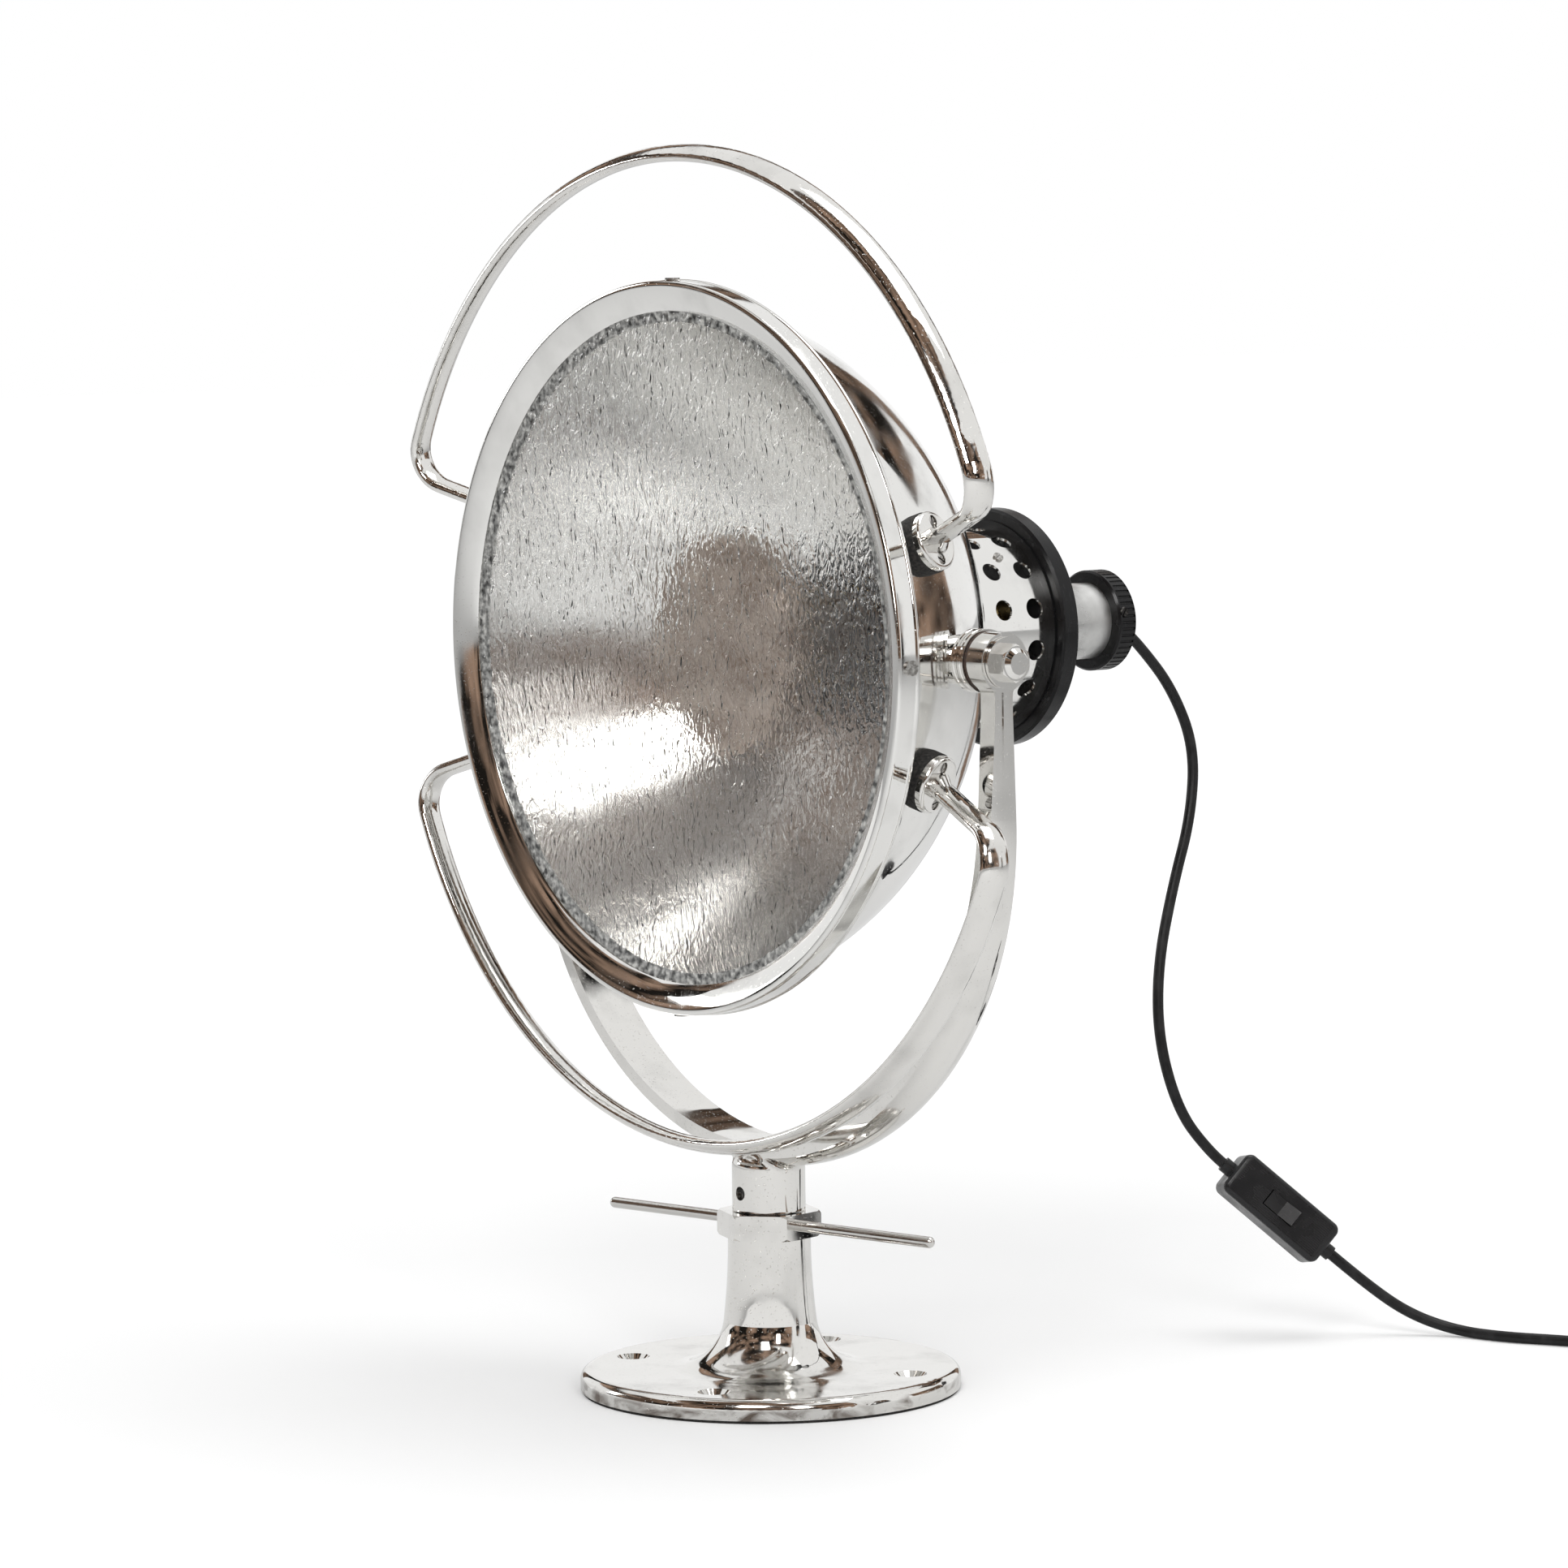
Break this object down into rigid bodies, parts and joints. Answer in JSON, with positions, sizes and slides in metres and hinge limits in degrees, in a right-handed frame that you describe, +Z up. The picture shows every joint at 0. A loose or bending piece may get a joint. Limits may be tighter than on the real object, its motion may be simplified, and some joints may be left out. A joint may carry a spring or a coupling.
{
  "type": "tabletop searchlight lamp",
  "caption": "Bowl-shaped metal searchlight on a swivelling U yoke and round bolt-down pedestal, with guard bars, pierced rear collar, focus knob and a cord with an inline switch.",
  "frame": {"origin": "centre of the pedestal's round footprint, on the surface it stands on", "axes": "+Z up along the swivel axis; the beam leaves along -Y; +X runs along the tilt axis"},
  "size_m": [0.5655, 0.6843, 0.7099],
  "materials": {
    "aluminium": "polished",
    "black_moulding": "moulded",
    "brass": "turned",
    "brown_fibre": "matt",
    "clear_glass": "rippled",
    "cord_rubber": "matt",
    "dark_fibre": "matt",
    "lamp_glass": "frosted",
    "polished_metal": "polished casting",
    "steel": "bright steel"
  },
  "bodies": {
    "base": {"base_pad": "dark_fibre", "base_pedestal": "polished_metal", "clamp_ring": "steel"},
    "nut": {"clamp_nut": "polished_metal", "tommy_bar_1": "steel", "tommy_bar_2": "steel"},
    "yoke": {"yoke": "polished_metal", "swivel_spindle": "steel", "stem_set_screw": "steel", "tilt_ring_outer_right": "polished_metal", "fibre_washer_right": "brown_fibre", "tilt_ring_outer_left": "polished_metal", "fibre_washer_left": "brown_fibre", "cord_upper": "cord_rubber", "switch_top": "black_moulding", "switch_bottom": "black_moulding", "cord_lower": "cord_rubber", "cord_coil": "cord_rubber", "plug_body": "black_moulding", "plug_pins": "steel"},
    "head": {"bezel": "aluminium", "glass": "clear_glass", "front_gasket": "dark_fibre", "reflector": "aluminium", "bowl_shell": "aluminium", "vent_collar": "aluminium", "rear_cap": "black_moulding", "guide_bush": "brass", "guard_upper": "polished_metal", "guard_lower": "polished_metal", "bezel_screw_1": "steel", "bezel_screw_2": "steel", "bezel_screw_3": "steel", "bezel_screw_4": "steel", "guard_gasket_1": "dark_fibre", "guard_gasket_2": "dark_fibre", "guard_gasket_3": "dark_fibre", "guard_gasket_4": "dark_fibre", "pivot_boss_right": "polished_metal", "pivot_backing_right": "steel", "tilt_ring_inner_right": "polished_metal", "pivot_washer_right": "steel", "pivot_bolt_right": "steel", "pivot_nut_right": "steel", "pivot_boss_left": "polished_metal", "pivot_backing_left": "steel", "tilt_ring_inner_left": "polished_metal", "pivot_washer_left": "steel", "pivot_bolt_left": "steel", "pivot_nut_left": "steel"},
    "focus": {"focus_tube": "aluminium", "focus_knob": "black_moulding", "cord_grip": "black_moulding", "lamp_holder": "black_moulding", "bulb": "lamp_glass", "bulb_base": "brass", "inner_flex": "cord_rubber"},
    "rocker": {"switch_rocker": "black_moulding"}
  },
  "joints": [
    {"name": "nut_turn", "type": "hinge", "parent": "base", "child": "nut", "pos_m": [0, 0, 0.096], "axis": [0, 0, 1], "range_deg": [-60, 60]},
    {"name": "yoke_swivel", "type": "hinge", "parent": "base", "child": "yoke", "pos_m": [0, 0, 0.104], "axis": [0, 0, 1], "range_deg": [-170, 170]},
    {"name": "head_tilt", "type": "hinge", "parent": "yoke", "child": "head", "pos_m": [0, 0, 0.428], "axis": [1, 0, 0], "range_deg": [-80, 4], "deforming": ["cord_upper"]},
    {"name": "focus_slide", "type": "slide", "parent": "head", "child": "focus", "axis": [0, 1, 0], "range_m": [-0.02, 0.012], "deforming": ["cord_upper"]},
    {"name": "switch_rock", "type": "hinge", "parent": "yoke", "child": "rocker", "pos_m": [0.08431, 0.31989, 0.07897], "axis": [0.2019, 0.6499, 0.7327], "range_deg": [-5, 5]}
  ]
}
